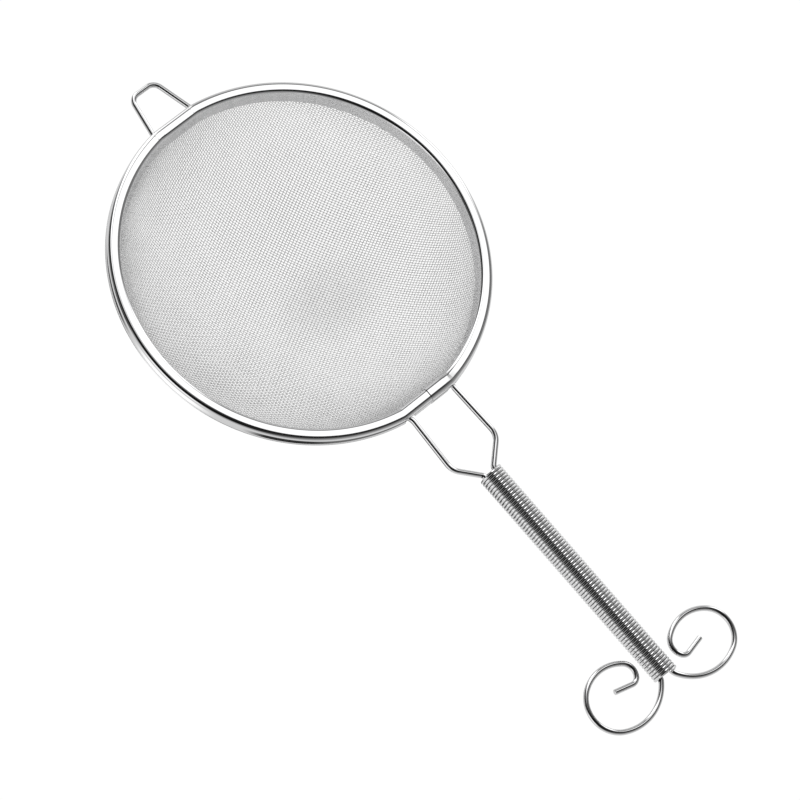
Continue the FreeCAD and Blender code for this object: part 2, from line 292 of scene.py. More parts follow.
# ---- node graphs --------------------------------------------------------------------------
class Graph:
    """The nodes of one material or of the world, with short ways to add and join them."""

    def __init__(self, owner: bpy.types.Material | bpy.types.World) -> None:
        """Take the nodes of a material or a world."""
        owner.use_nodes = True
        self.tree = owner.node_tree

    def add(self, kind: str, inputs: dict[str | int, Input] | None = None, **settings: str) -> bpy.types.Node:
        """Add a node.

        Args:
            kind: the node's type, without ShaderNode before it.
            inputs: what goes into the node, by the input's name or number.
            settings: the node's own settings.

        Returns:
            The new node.
        """
        node = self.tree.nodes.new("ShaderNode" + kind)
        for name, value in settings.items():
            setattr(node, name, value)
        self.fill(node, inputs or {})
        return node

    def fill(self, node: bpy.types.Node, inputs: dict[str | int, Input]) -> None:
        """Set a node's inputs to values, or join them to the sockets that they come from."""
        for name, value in inputs.items():
            if isinstance(value, Socket):
                self.tree.links.new(value, node.inputs[name])
            else:
                node.inputs[name].default_value = value

    def maths(self, operation: str, first: Socket | float, second: Socket | float = 0.0) -> Socket:
        """The result of a sum on one or two numbers or sockets."""
        return self.add("Math", {0: first, 1: second}, operation=operation).outputs[0]

    def ramp(self, place: Socket, stops: list[tuple[float, Colour]]) -> Socket:
        """The colour at a place between 0 and 1 on a ramp with stops of rising place."""
        node = self.add("ValToRGB", {"Fac": place})
        elements = node.color_ramp.elements
        while len(elements) < len(stops):
            elements.new(0.5)
        for element, (level, colour) in zip(elements, stops):
            element.position = level
            element.color = (*colour, 1.0)
        return node.outputs["Color"]

    def between(self, value: Socket, low: float, high: float, at_low: float, at_high: float) -> Socket:
        """A smooth step from one value, up to low, to another, from high on."""
        inputs = {"Value": value, "From Min": low, "From Max": high, "To Min": at_low, "To Max": at_high}
        return self.add("MapRange", inputs, interpolation_type="SMOOTHSTEP").outputs["Result"]

    def covered(self, light: Socket | float, share: Socket, over: float) -> Socket:
        """A light that gives way to another by a share."""
        rest = self.maths("MULTIPLY", self.maths("SUBTRACT", 1.0, share), light)
        return self.maths("ADD", rest, self.maths("MULTIPLY", share, over))

    def seen_directly(self, path: bpy.types.Node) -> Socket:
        """1 for what the camera sees, also through something clear, and 0 for everything else."""
        return self.maths("MAXIMUM", path.outputs["Is Camera Ray"], path.outputs["Is Transmission Ray"])


# ---- finishes -----------------------------------------------------------------------------
class Grain(Enum):
    """Which way the fine marks of a finish run."""

    ALONG = (1.0, 90.0)
    SPECKLED = (1.0, 1.0)


@dataclass(frozen=True)
class Metal:
    """A bright metal finish with fine marks in its gloss and its surface."""

    name: str
    colour: Colour
    metallic: float
    roughness: tuple[float, float]
    grain: Grain
    grain_scale: float
    grain_height: float
    tint: float
    # Wire radius over which painted shade is laid between coil turns; 0 paints none.
    turn_shade_radius: float = 0.0
    cloud_scale: float = 60.0
    cloud_stops: tuple[float, float] = (0.3, 0.7)
    bump: float = 0.25
    # Painted shade between coil turns: its near-black colour, where it fades in, and the share of own colour
    # left under it.
    turn_shade_colour: Colour = (0.02, 0.02, 0.02)
    turn_shade_edge: tuple[float, float] = (0.25, 0.80)
    colour_left_in_turn_shade: float = 0.04

    def material(self) -> bpy.types.Material:
        """Make the material, or give back the one made before.

        Returns:
            A material whose gloss, colour and surface follow a noise on the piece's own map.
        """
        made = bpy.data.materials.get(self.name)
        if made is not None:
            return made
        made = bpy.data.materials.new(self.name)
        graph = Graph(made)
        place = graph.add("TexCoord")
        source = place.outputs["UV" if self.grain is Grain.ALONG else "Object"]
        stretch = graph.add("Mapping", {"Vector": source, "Scale": (*self.grain.value, 1.0)})
        marks = self._noise(graph, stretch.outputs["Vector"], self.grain_scale, 6.0)
        cloud = self._noise(graph, place.outputs["Object"], self.cloud_scale, 2.0)
        shine, matt = self.roughness
        gloss = graph.add("MapRange", {"Value": marks, "To Min": shine, "To Max": matt})
        dull = tuple(c * (1 - self.tint) for c in self.colour)
        colour = graph.ramp(cloud, list(zip(self.cloud_stops, (dull, self.colour))))
        bump = graph.add("Bump", {"Strength": self.bump, "Distance": self.grain_height, "Height": marks})
        # The base colour carries painted shade between coil turns.
        graph.fill(graph.tree.nodes["Principled BSDF"], {
            "Metallic": self.metallic, "Roughness": gloss.outputs["Result"], "Normal": bump.outputs["Normal"],
            "Base Color": self._painted_turn_shade(graph, place.outputs["UV"], colour)})
        return made

    def _painted_turn_shade(self, graph: Graph, place: Socket, colour: Socket) -> Socket:
        """Paint shade on the sides of each turn, where it faces the next one.

        The map's second coordinate is the distance around the wire from its outermost line, so the
        cosine of that distance over the wire's radius is high outside and low in the grooves.

        Args:
            graph: nodes of the material.
            place: socket with the place on the piece's map.
            colour: socket with the unshaded colour.

        Returns:
            The socket with the colour under painted shade, or the same one if the finish paints no shade
            between turns.
        """
        if not self.turn_shade_radius:
            return colour
        around = graph.add("SeparateXYZ", {0: place}).outputs["Y"]
        outward = graph.maths("COSINE", graph.maths("DIVIDE", around, self.turn_shade_radius))
        unshaded = graph.between(outward, *self.turn_shade_edge, self.colour_left_in_turn_shade, 1.0)
        # Mix in the painted shade colour where the wire faces its neighbouring turn.
        mix = graph.add("Mix", {"Factor": unshaded, "A": (*self.turn_shade_colour, 1.0), "B": colour}, data_type="RGBA")
        return mix.outputs["Result"]

    @staticmethod
    def _noise(graph: Graph, place: Socket, scale: float, detail: float) -> Socket:
        """A noise of the given scale and detail at a place."""
        return graph.add("TexNoise", {"Vector": place, "Scale": scale, "Detail": detail}).outputs["Fac"]


POLISHED_SHEET = Metal("polished_sheet", (0.88, 0.88, 0.885), 1.0, (0.03, 0.08), Grain.ALONG,
                       900.0, 0.004 * MM, 0.04)
DRAWN_WIRE = Metal("drawn_wire", (0.88, 0.88, 0.885), 1.0, (0.03, 0.09), Grain.ALONG,
                   1100.0, 0.005 * MM, 0.05)
WOVEN_WIRE = Metal("woven_wire", (0.88, 0.88, 0.88), 0.55, (0.20, 0.34), Grain.SPECKLED,
                   900.0, 0.004 * MM, 0.10)
# The coil wire gets painted shade on the sides of its turns.
SPRING_WIRE = Metal("spring_wire", (0.95, 0.95, 0.955), 1.0, (0.04, 0.10), Grain.ALONG,
                    1100.0, 0.005 * MM, 0.05, turn_shade_radius=0.865 * MM)


def finish_piece(piece: bpy.types.Object, node: str, metal: Metal) -> None:
    """Dress a piece, tie it to the body and let it stand for its CAD node.

    Args:
        piece: the finished mesh object.
        node: CAD node that the piece stands for.
        metal: finish of the piece.
    """
    piece.data.materials.append(metal.material())
    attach(piece, BODY)
    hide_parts(node)
    log.info("piece %s: %d faces, stands for %s", piece.name, len(piece.data.polygons), node)


# ---- the rim ------------------------------------------------------------------------------
@dataclass
class Notch:
    """An arch cut up into the skirt where a wire passes through it."""

    place: float
    width: float


@dataclass
class RimBand:
    """The sheet-steel bead round the bowl's mouth, with flats at the hook and at the handle."""

    radius: float = 100.0 * MM
    sheet: float = 0.5 * MM
    skirt_drop: float = 6.3 * MM
    lip_radius: float = 1.4 * MM
    lip_turn: float = 50.0
    outer_bend: float = 2.0 * MM
    inner_bend: float = 1.8 * MM
    leg_drop: float = 7.3 * MM
    leg_lean: float = 14.0
    width: float = 8.7 * MM
    handle_flat: float = 9.5
    hook_flat: float = 7.3
    hook_turn: float = 2.8
    flat_corner: float = 14.0 * MM
    seam: float = 1.5 * MM
    lap_raised: float = 9.0 * MM
    lap_under: float = 5.5 * MM
    lap_ramp: float = 15.0 * MM
    lap_gap: float = 0.1 * MM
    notch_top: float = -2.6 * MM
    handle_notch: float = 6.4 * MM
    hook_notch: float = 4.6 * MM
    handle_wires: tuple[float, float] = (-12.85 * MM, 16.2 * MM)
    hook_wires: float = 12.65 * MM
    station: float = 0.9 * MM
    station_turn: float = 0.5
    section_station: float = 0.5 * MM
    section_turn: float = 7.5
    arch_stations: int = 33
    arch_edge: float = 0.04 * MM
    skirt_share: float = 0.4
    sharp: float = 38.0

    def leg_face_radius(self, z: float) -> float:
        """Radius of the inner leg's inner face at height z."""
        return self.radius - self.width + (z + self.leg_drop) * math.tan(math.radians(self.leg_lean))

    def section(self) -> Track:
        """Middle line of the sheet, from the skirt's lip over the crown to the leg's foot.

        Returns:
            A track whose first coordinate is the distance in from the outermost edge, as a
            negative number, and whose second is the height.
        """
        half = self.sheet / 2
        flare = math.radians(self.lip_turn)
        skirt_u = -half - self.lip_radius * (1 - math.cos(flare))
        skirt = self.skirt_drop - self.lip_radius * math.sin(flare) - self.outer_bend - half
        leg_turn = 90 - self.leg_lean
        leg_top = half + self.inner_bend * (1 - math.cos(math.radians(leg_turn)))
        leg = (self.leg_drop - leg_top) / math.cos(math.radians(self.leg_lean))
        leg_top_u = (self.leg_face_radius(-leg_top) - self.radius
                     + half / math.cos(math.radians(self.leg_lean)))
        crown_inner_u = leg_top_u + self.inner_bend * math.sin(math.radians(leg_turn))
        crown = skirt_u - self.outer_bend - crown_inner_u
        track = Track(-half, -self.skirt_drop, 90 + self.lip_turn)
        track.bend(self.lip_radius, -self.lip_turn).line(skirt).bend(self.outer_bend, 90)
        return track.line(crown).bend(self.inner_bend, leg_turn).line(leg)

    def flat(self, half_angle: float) -> tuple[float, float, float]:
        """Distance, half length and corner turn in degrees of a flat that spans so many degrees."""
        distance = self.radius * math.cos(math.radians(half_angle))
        reach = distance - self.flat_corner
        half = math.sqrt((self.radius - self.flat_corner) ** 2 - reach ** 2)
        return distance, half, math.degrees(math.atan2(half, reach))

    def path(self) -> Track:
        """The outermost edge seen from above, from the lap's upper end round to its lower end."""
        distance, half, corner = self.flat(self.handle_flat)
        _, hook_half, hook_corner = self.flat(self.hook_flat)
        facing = 180 + self.hook_turn
        track = Track(distance, self.seam, 90).line(half - self.seam).bend(self.flat_corner, corner)
        track.bend(self.radius, facing - hook_corner - corner).bend(self.flat_corner, hook_corner)
        track.line(2 * hook_half).bend(self.flat_corner, hook_corner)
        track.bend(self.radius, 360 - corner - facing - hook_corner).bend(self.flat_corner, corner)
        return track.line(half + self.seam + self.lap_under)

    def notches(self, path: Track) -> list[Notch]:
        """Notches for the two handle wires and the two wires of the hook.

        Args:
            path: the rim's outermost edge.

        Returns:
            The notches, each at its distance along the path.
        """
        fine = np.linspace(0.0, path.length, 20001)
        spots, _ = path.at(fine)
        found = []
        for wire_y in self.handle_wires:
            gap = np.abs(spots[:, 1] - wire_y) + np.where(spots[:, 0] < 0, 1.0, 0.0)
            gap[fine > path.length - self.lap_under] = 1.0
            found.append(Notch(float(fine[np.argmin(gap)]), self.handle_notch))
        turn = math.radians(180 + self.hook_turn)
        across = -spots[:, 0] * math.sin(turn) + spots[:, 1] * math.cos(turn)
        front = spots[:, 0] * math.cos(turn) + spots[:, 1] * math.sin(turn)
        for side in (-1, 1):
            gap = np.abs(across - side * self.hook_wires) + np.where(front < 0, 1.0, 0.0)
            found.append(Notch(float(fine[np.argmin(gap)]), self.hook_notch))
        return found

    def _stations(self, path: Track, notches: list[Notch]) -> Array:
        """Distances along the path at which a section stands, closer together at the notches."""
        along = [path.stations(self.station, self.station_turn)]
        for notch in notches:
            half = notch.width / 2
            swing = np.linspace(-math.pi / 2, math.pi / 2, self.arch_stations)
            edges = np.array([-1, 1]) * (half + self.arch_edge)
            along += [notch.place + half * np.sin(swing), notch.place + edges]
        along = np.unique(np.round(np.concatenate(along), 7))
        return along[(along >= 0) & (along <= path.length)]

    def _feet(self, along: Array, notches: list[Notch], section: Track) -> Array:
        """Where each section starts: at the lip, or in a notch where the arch cuts it.

        Args:
            along: the sections' distances along the path.
            notches: the notches.
            section: middle line of the sheet.

        Returns:
            Distances from the lip, over the section.
        """
        fine = np.linspace(0.0, section.length, 4001)
        heights = section.at(fine)[0][:, 1]
        rising = fine < section.length * self.skirt_share
        foot = np.zeros(len(along))
        for notch in notches:
            off = np.abs(along - notch.place)
            half = notch.width / 2
            arch = self.notch_top - half + np.sqrt(np.clip(half ** 2 - off ** 2, 0.0, None))
            cut = np.interp(arch, heights[rising], fine[rising])
            foot = np.where(off <= half + 1e-8, np.maximum(foot, cut), foot)
        return foot

    def skin(self) -> Skin:
        """Skin of the whole band.

        The section is carried along the path. A point is the path's point plus the section's first
        coordinate outwards and its second upwards, and half a sheet to either side of the middle
        line. The lap's upper end is lifted off the section by a sheet and a gap, and comes down
        along a smooth ramp.

        Returns:
            The closed skin, mapped by length and by distance over the section.
        """
        path, section = self.path(), self.section()
        notches = self.notches(path)
        along = self._stations(path, notches)
        foot = self._feet(along, notches, section)
        spots, heading = path.at(along)
        over = section.stations(self.section_station, self.section_turn)
        share = over[None, :] / section.length
        reach = foot[:, None] + (section.length - foot[:, None]) * share
        middle, lean = section.at(reach.ravel())
        middle = middle.reshape(*reach.shape, 2)
        lean = lean.reshape(reach.shape)
        ramp = np.clip((self.lap_raised + self.lap_ramp - along) / self.lap_ramp, 0.0, 1.0)
        lift = (self.sheet + self.lap_gap) * ramp ** 2 * (3 - 2 * ramp)
        faces = []
        for side in (1, -1):
            off = lift[:, None] + side * self.sheet / 2
            faces.append(middle + np.stack([np.sin(lean), -np.cos(lean)], -1) * off[..., None])
        ring = np.concatenate([faces[0], faces[1][:, ::-1]], axis=1)
        out = np.stack([np.sin(heading), -np.cos(heading)], axis=1)
        flat = spots[:, None, :] + ring[..., :1] * out[:, None, :]
        points = np.concatenate([flat, ring[..., 1:]], axis=-1)
        rows, columns = points.shape[:2]
        quads, places = grid_faces(rows, columns, True)
        length_over = np.concatenate([over, section.length + over, [2 * section.length]])
        uv = np.stack([along[places[..., 0]], length_over[places[..., 1]]], axis=-1)
        k = np.arange(len(over) - 1)
        cap = np.stack([k, k + 1, columns - 2 - k, columns - 1 - k], axis=1)
        caps = np.concatenate([cap, cap[:, ::-1] + (rows - 1) * columns])
        cap_uv = np.zeros((*caps.shape, 2))
        return Skin(points.reshape(-1, 3), [quads, caps], [uv, cap_uv]).turned_out()

    def build(self) -> bpy.types.Object:
        """Make the band and dress it."""
        piece = make_object("rim_bead", self.skin(), self.sharp)
        finish_piece(piece, "rim_band", POLISHED_SHEET)
        return piece


# ---- the frame wire -----------------------------------------------------------------------
@dataclass(frozen=True)
class HandleSide:
    """How one handle wire leaves the rim, and each bend of its scroll by radius in mm and turn."""

    side: int
    at_rim: float
    splay: float
    scroll: tuple[tuple[float, float], ...]


LEFT_SIDE = HandleSide(-1, 12.85 * MM, 3.2, (
    (2.4, 39.5), (26.0, 80.0), (15.6, 122.8), (20.5, 68.4), (6.6, 88.4), (4.2, 67.4)))
RIGHT_SIDE = HandleSide(1, 16.2 * MM, 1.3, (
    (7.7, 33.8), (26.1, 81.6), (14.0, 113.6), (21.1, 74.7), (7.2, 94.2), (4.0, 61.6)))


@dataclass
class WireFrame:
    """The hoop in the rim, the two handle wires with their scrolls, and the front hook."""

    wire: float = 2.9 * MM
    level: float = -4.5 * MM
    hoop_radius: float = 95.296 * MM
    flat_distance: float = 98.629 * MM
    root_bend: float = 7.5 * MM
    neck_at: float = 131.6 * MM
    neck_outer: float = 9.0 * MM
    neck_inner: float = 2.2 * MM
    core_offset: float = 3.54 * MM
    wires_meet: float = 144.5 * MM
    wires_part: float = 275.56125 * MM
    scroll_tail: float = 10.3 * MM
    hook_turn: float = 2.8
    hook_width: float = 25.3 * MM
    hook_reach: float = 120.8 * MM
    hook_taper: float = 13.0
    hook_bend: float = 5.5 * MM
    foot_gap: float = 0.05 * MM
    rim_radius: float = 100.0 * MM
    sides: int = 40
    chamfer: float = 0.16 * MM

    def root_centre(self, wire: HandleSide) -> tuple[float, float]:
        """Middle of the bend between the hoop and a handle wire, drawn on the +Y side.

        The bend touches the hoop from outside, so its middle is a hoop radius and a bend radius
        from the rim's middle, on the line that runs beside the splayed wire at a bend's radius.

        Args:
            wire: the handle wire.

        Returns:
            The middle's two coordinates, seen from above.
        """
        along_a, along_b = math.cos(math.radians(wire.splay)), math.sin(math.radians(wire.splay))
        base_a = self.flat_distance - self.root_bend * along_b
        base_b = wire.at_rim + self.root_bend * along_a
        reach = base_a * along_a + base_b * along_b
        gap = (self.hoop_radius + self.root_bend) ** 2 - base_a ** 2 - base_b ** 2
        shift = math.sqrt(reach ** 2 + gap) - reach
        return base_a + shift * along_a, base_b + shift * along_b

    def root_angle(self, wire: HandleSide) -> float:
        """Angle at which the hoop runs over into a handle wire, in degrees."""
        a, b = self.root_centre(wire)
        return math.degrees(math.atan2(b, a))

    def hoop_track(self) -> Track:
        """The part of the wire that lies in the rim."""
        first = self.root_angle(RIGHT_SIDE)
        start = math.radians(first)
        track = Track(self.hoop_radius * math.cos(start), self.hoop_radius * math.sin(start), first + 90)
        return track.bend(self.hoop_radius, 360 - first - self.root_angle(LEFT_SIDE))

    def neck_turn(self, drop: float) -> float:
        """Angle at which a wire must run inwards from its corner to come in by so much at the grip."""
        run = self.wires_meet - self.neck_at
        slack = drop - 2 * self.neck_inner
        return 2 * math.atan((math.sqrt(run ** 2 + drop * slack) - run) / slack)

    def handle_track(self, wire: HandleSide) -> Track:
        """Middle line of a handle wire, from the hoop to the end of its scroll.

        Args:
            wire: the handle wire.

        Returns:
            The track seen from above.
        """
        side, splay = wire.side, math.radians(wire.splay)
        centre_a, centre_b = self.root_centre(wire)
        angle = self.root_angle(wire)
        start = math.radians(angle)
        root_a = centre_a + self.root_bend * math.sin(splay)
        root_b = centre_b - self.root_bend * math.cos(splay)
        drop = root_b + (self.neck_at - root_a) * math.tan(splay) - self.core_offset
        turn = self.neck_turn(drop)
        outer_cut = self.neck_outer * math.tan((turn + splay) / 2)
        inner_cut = self.neck_inner * math.tan(turn / 2)
        track = Track(self.hoop_radius * math.cos(start), side * self.hoop_radius * math.sin(start),
                      side * (angle - 90))
        track.bend(self.root_bend, side * (90 - angle + wire.splay))
        track.line((self.neck_at - root_a) / math.cos(splay) - outer_cut)
        track.bend(self.neck_outer, -side * (math.degrees(turn) + wire.splay))
        track.line(drop / math.sin(turn) - outer_cut - inner_cut)
        track.bend(self.neck_inner, side * math.degrees(turn)).line(self.wires_part - self.wires_meet)
        for radius, bend in wire.scroll:
            track.bend(radius * MM, side * bend)
        return track.line(self.scroll_tail)

    def hook_half_width(self, reach: float) -> float:
        """Half the distance between the hook's wires at a distance from the rim's middle."""
        return self.hook_width / 2 - (reach - self.rim_radius) * math.tan(math.radians(self.hook_taper))

    def hook_track(self) -> Track:
        """Middle line of the front hook, from foot to foot, turned to face the front."""
        taper = math.radians(self.hook_taper)
        outside = self.hoop_radius + self.wire / 2
        nearest = self.hook_half_width(outside) - self.wire / 2
        foot = math.sqrt(outside ** 2 - nearest ** 2) + self.foot_gap + self.wire / 2 * math.sin(taper)
        corner_cut = self.hook_bend * math.tan(math.radians(90 - self.hook_taper) / 2)
        side_length = (self.hook_reach - foot) / math.cos(taper) - corner_cut
        front = 2 * (self.hook_half_width(self.hook_reach) - corner_cut)
        facing = math.radians(180 + self.hook_turn)
        half = self.hook_half_width(foot)
        a = foot * math.cos(facing) - half * math.sin(facing)
        b = foot * math.sin(facing) + half * math.cos(facing)
        track = Track(a, b, math.degrees(facing) - self.hook_taper)
        track.line(side_length).bend(self.hook_bend, self.hook_taper - 90).line(front)
        return track.bend(self.hook_bend, self.hook_taper - 90).line(side_length)

    def build(self) -> list[bpy.types.Object]:
        """Make the four wires and dress them."""
        tracks = {"hoop_wire": self.hoop_track(), "handle_wire_left": self.handle_track(LEFT_SIDE),
                  "handle_wire_right": self.handle_track(RIGHT_SIDE), "front_hook": self.hook_track()}
        made = []
        for node, track in tracks.items():
            skin = round_wire(track, self.level, self.wire / 2, self.sides, self.chamfer)
            piece = make_object(node + "_drawn", skin, 30.0)
            finish_piece(piece, node, DRAWN_WIRE)
            made.append(piece)
        return made


# ---- the woven bowl -----------------------------------------------------------------------
class Lay(Enum):
    """The two sets of wires in the cloth."""

    WARP = 1
    WEFT = -1


@dataclass
class WovenBowl:
    """The bowl of plain-woven wire cloth, pressed into shape, its edge hooked over the hoop."""

    base_radius: float = 105.0 * MM
    break_angle: float = 45.0
    slope: float = 76.0
    join_radius: float = 92.311 * MM
    join_level: float = -8.0 * MM
    hem_level: float = -4.004 * MM
    hem_radius: float = 2.05 * MM
    warp_pitch: float = 1.75 * MM
    weft_pitch: float = 1.35 * MM
    wire: float = 0.4 * MM
    lay_angle: float = 28.0
    crest: float = 0.2
    sides: int = 6
    waver: float = 0.035 * MM
    pieces_per_lay: int = 4
    seed: int = 7
    knots: int = 12
    spare: int = 8
    margin: float = 4.0 * MM
    side_beyond: float = 60.0 * MM
    newton_rounds: int = 5
    newton_stride: float = 1.0 * MM

    def profile(self) -> Track:
        """Half section of the cloth's middle, from the bottom of the bowl over the hem.

        Returns:
            A track whose first coordinate is the radius and whose second is the height.
        """
        turn, slope = math.radians(self.break_angle), math.radians(self.slope)
        side = (self.join_radius - self.base_radius * math.sin(turn)) / (math.sin(slope) - math.sin(turn))
        depth = self.base_radius * (1 - math.cos(turn)) + side * (math.cos(turn) - math.cos(slope))
        track = Track(0.0, self.join_level - depth, 0.0)
        track.bend(self.base_radius, self.break_angle).bend(side, self.slope - self.break_angle)
        track.line((self.hem_level - self.join_level) / math.sin(slope))
        return track.bend(self.hem_radius, -self.slope)

    def net(self, limit: float) -> Array:
        """Crossings of the cloth on one quarter of the bowl.

        Cloth neither stretches nor shrinks along its wires, so each crossing lies one warp pitch
        from its neighbour across the warp and one weft pitch from its neighbour across the weft,
        both measured straight. Starting from the two wires over the bottom of the bowl, each
        diagonal row of crossings follows from the one before it by Newton's rule. A crossing is
        kept as a flat vector whose length is its distance from the bottom along the section.

        Args:
            limit: distance from the bottom past which crossings are only carried on.

        Returns:
            The flat vectors, by number of warp wire, number of weft wire and coordinate.
        """
        across = int(limit / self.warp_pitch) + self.spare
        down = int(limit / self.weft_pitch) + self.spare
        flat = np.zeros((across, down, 2))
        flat[:, 0, 0] = np.arange(across) * self.warp_pitch
        flat[0, :, 1] = np.arange(down) * self.weft_pitch
        section = self._side_section()
        for row in range(2, across + down - 1):
            i = np.arange(max(1, row - down + 1), min(across, row))
            j = row - i
            guess = flat[i - 1, j] + flat[i, j - 1] - flat[i - 1, j - 1]
            live = np.hypot(*guess.T) < limit + self.margin
            left, _ = self._lift(section, flat[i - 1, j])
            below, _ = self._lift(section, flat[i, j - 1])
            for _ in range(self.newton_rounds):
                place, slope = self._lift(section, guess)
                over_warp = ((place - left) ** 2).sum(1) - self.warp_pitch ** 2
                over_weft = ((place - below) ** 2).sum(1) - self.weft_pitch ** 2
                a, b = 2 * np.einsum("nk,nkc->cn", place - left, slope)
                c, d = 2 * np.einsum("nk,nkc->cn", place - below, slope)
                size = a * d - b * c
                live &= np.abs(size) > 1e-9
                shift = np.stack([over_warp * d - over_weft * b, over_weft * a - over_warp * c], axis=1)
                shift /= np.where(live, size, 1.0)[:, None]
                stride = np.clip(shift, -self.newton_stride, self.newton_stride)
                guess = guess - np.where(live[:, None], stride, 0.0)
            flat[i, j] = guess
        return flat

    def _side_section(self) -> Track:
        """The section with its straight side carried on past the hem, for working out the net."""
        section = self.profile()
        longer = Track(*section.starts[0][:2], math.degrees(section.starts[0][2]))
        for length, curl in list(zip(section.lengths, section.curls))[:2]:
            longer.step(length, curl)
        return longer.line(self.side_beyond)

    @staticmethod
    def _lift(section: Track, flat: Array) -> tuple[Array, Array]:
        """Points on the bowl for flat vectors, and how they change with each coordinate.

        Args:
            section: half section of the bowl.
            flat: flat vectors, one row each.

        Returns:
            The points, and for each point a 3 by 2 matrix of slopes.
        """
        far = np.maximum(np.hypot(flat[:, 0], flat[:, 1]), 1e-9)
        away = flat / far[:, None]
        spot, heading = section.at(far)
        radius = spot[:, 0]
        points = np.column_stack([away * radius[:, None], spot[:, 1]])
        outer = away[:, :, None] * away[:, None, :]
        level = np.cos(heading)[:, None, None] * outer
        level += (radius / far)[:, None, None] * (np.eye(2) - outer)
        rise = np.sin(heading)[:, None, None] * away[:, None, :]
        return points, np.concatenate([level, rise], axis=1)

    def _crossings(self, lay: Lay) -> tuple[Array, Array]:
        """Crossings of the whole cloth, for one set of wires.

        Args:
            lay: which set of wires.

        Returns:
            Flat vectors by wire and crossing, and 1 where the wire runs over or -1 where under.
        """
        quarter = self.net(self.profile().length)
        half = np.concatenate([quarter[:0:-1] * (-1, 1), quarter], axis=0)
        whole = np.concatenate([half[:, :0:-1] * (1, -1), half], axis=1)
        parity = np.add.outer(*(np.arange(count) for count in whole.shape[:2])) % 2 * 2 - 1
        if lay is Lay.WARP:
            return whole, parity * 1.0
        return whole.transpose(1, 0, 2), -parity.T * 1.0

    def _wavered(self, lines: Array, lay: Lay) -> Array:
        """The same wires, each drifting a little to its sides, as drawn by chance at a few knots.

        Args:
            lines: flat vectors by wire and crossing.
            lay: which set of wires.

        Returns:
            The moved flat vectors.
        """
        rng = np.random.default_rng(self.seed + lay.value)
        knots = rng.normal(size=(lines.shape[0], self.knots))
        spots = np.linspace(0, self.knots - 1, lines.shape[1])
        low = np.minimum(spots.astype(int), self.knots - 2)
        part = spots - low
        drift = knots[:, low] * (1 - part) + knots[:, low + 1] * part
        step = np.gradient(lines, axis=1)
        aside = unit(np.stack([-step[..., 1], step[..., 0]], -1))
        return lines + aside * (drift * self.waver)[..., None]

    @staticmethod
    def _hemmed(flat: Array, end: float) -> tuple[Array, Array]:
        """End each wire exactly where it passes the hem's edge.

        Args:
            flat: flat vectors by wire and station.
            end: distance of the hem's edge from the bottom of the bowl.

        Returns:
            The flat vectors, with the first station past the edge moved onto it, and True for
            each station that is kept.
        """
        far = np.linalg.norm(flat, axis=-1)
        inside = far <= end
        kept, clipped = inside.copy(), flat.copy()
        for shift in (1, -1):
            near = np.roll(inside, shift, axis=1)
            near[:, 0 if shift == 1 else -1] = False
            at_edge = ~inside & near
            inner, inner_far = np.roll(flat, shift, axis=1), np.roll(far, shift, axis=1)
            share = np.where(at_edge, (end - inner_far) / np.where(at_edge, far - inner_far, 1.0), 0.0)
            clipped = np.where(at_edge[..., None], inner + (flat - inner) * share[..., None], clipped)
            kept |= at_edge
        return clipped, kept

    def wires(self, lay: Lay) -> tuple[Array, Array]:
        """Middle lines of all wires of one set, with two stations at each crossing.

        A wire runs over one crossing wire and under the next. Its stations lie a little before and
        after each crossing, raised or lowered along the bowl's normal by half the wire, so that
        crossing wires just touch.

        Args:
            lay: which set of wires.

        Returns:
            Flat vectors by wire and station, with the height above or below the cloth's middle as
            a third coordinate, and True for each station that is kept.
        """
        lines, raised = self._crossings(lay)
        lines = self._wavered(lines, lay)
        before = lines[:, 1:-1] * (1 - self.crest) + lines[:, :-2] * self.crest
        after = lines[:, 1:-1] * (1 - self.crest) + lines[:, 2:] * self.crest
        paired = np.stack([before, after], axis=2).reshape(lines.shape[0], -1, 2)
        height = np.repeat(raised[:, 1:-1], 2, axis=1) * self.wire / 2
        clipped, kept = self._hemmed(paired, self.profile().length)
        turn = math.radians(self.lay_angle)
        swing = np.array([[math.cos(turn), math.sin(turn)], [-math.sin(turn), math.cos(turn)]])
        return np.concatenate([clipped @ swing, height[..., None]], axis=-1), kept

    def skins(self, lay: Lay) -> list[Skin]:
        """Skins of one set of wires, shared among a few pieces.

        A wire's middle line is the bowl's point for the flat vector plus its height along the
        bowl's normal. A ring point is the middle plus the wire's radius times a cosine along the
        cloth and a sine along the normal.

        Args:
            lay: which set of wires.

        Returns:
            The skins, each of neighbouring wires.
        """
        lines, kept = self.wires(lay)
        shape = kept.shape
        flat = lines[..., :2].reshape(-1, 2)
        far = np.maximum(np.hypot(*flat.T), 1e-9)
        away = flat / far[:, None]
        spot, heading = self.profile().at(np.minimum(far, self.profile().length))
        normal = np.column_stack([-np.sin(heading)[:, None] * away, np.cos(heading)])
        base = np.column_stack([away * spot[:, :1], spot[:, 1]])
        middle = (base + normal * lines[..., 2].reshape(-1, 1)).reshape(*shape, 3)
        normal = normal.reshape(*shape, 3)
        ahead, behind = np.roll(middle, -1, axis=1), np.roll(middle, 1, axis=1)
        has_next = kept & np.roll(kept, -1, axis=1)
        has_next[:, -1] = False
        has_last = kept & np.roll(kept, 1, axis=1)
        has_last[:, 0] = False
        run = unit(np.where(has_next[..., None], ahead, middle) - np.where(has_last[..., None], behind, middle))
        aside = unit(np.cross(run, normal))
        up = np.cross(aside, run)
        angle = np.arange(self.sides) * 2 * math.pi / self.sides
        ring = (middle[:, :, None] + self.wire / 2 * (np.cos(angle)[:, None] * aside[:, :, None]
                                                      + np.sin(angle)[:, None] * up[:, :, None]))
        live = np.flatnonzero(has_next.any(axis=1))
        groups = np.array_split(live, self.pieces_per_lay)
        return [self._bundle(ring, has_next, kept, group) for group in groups]

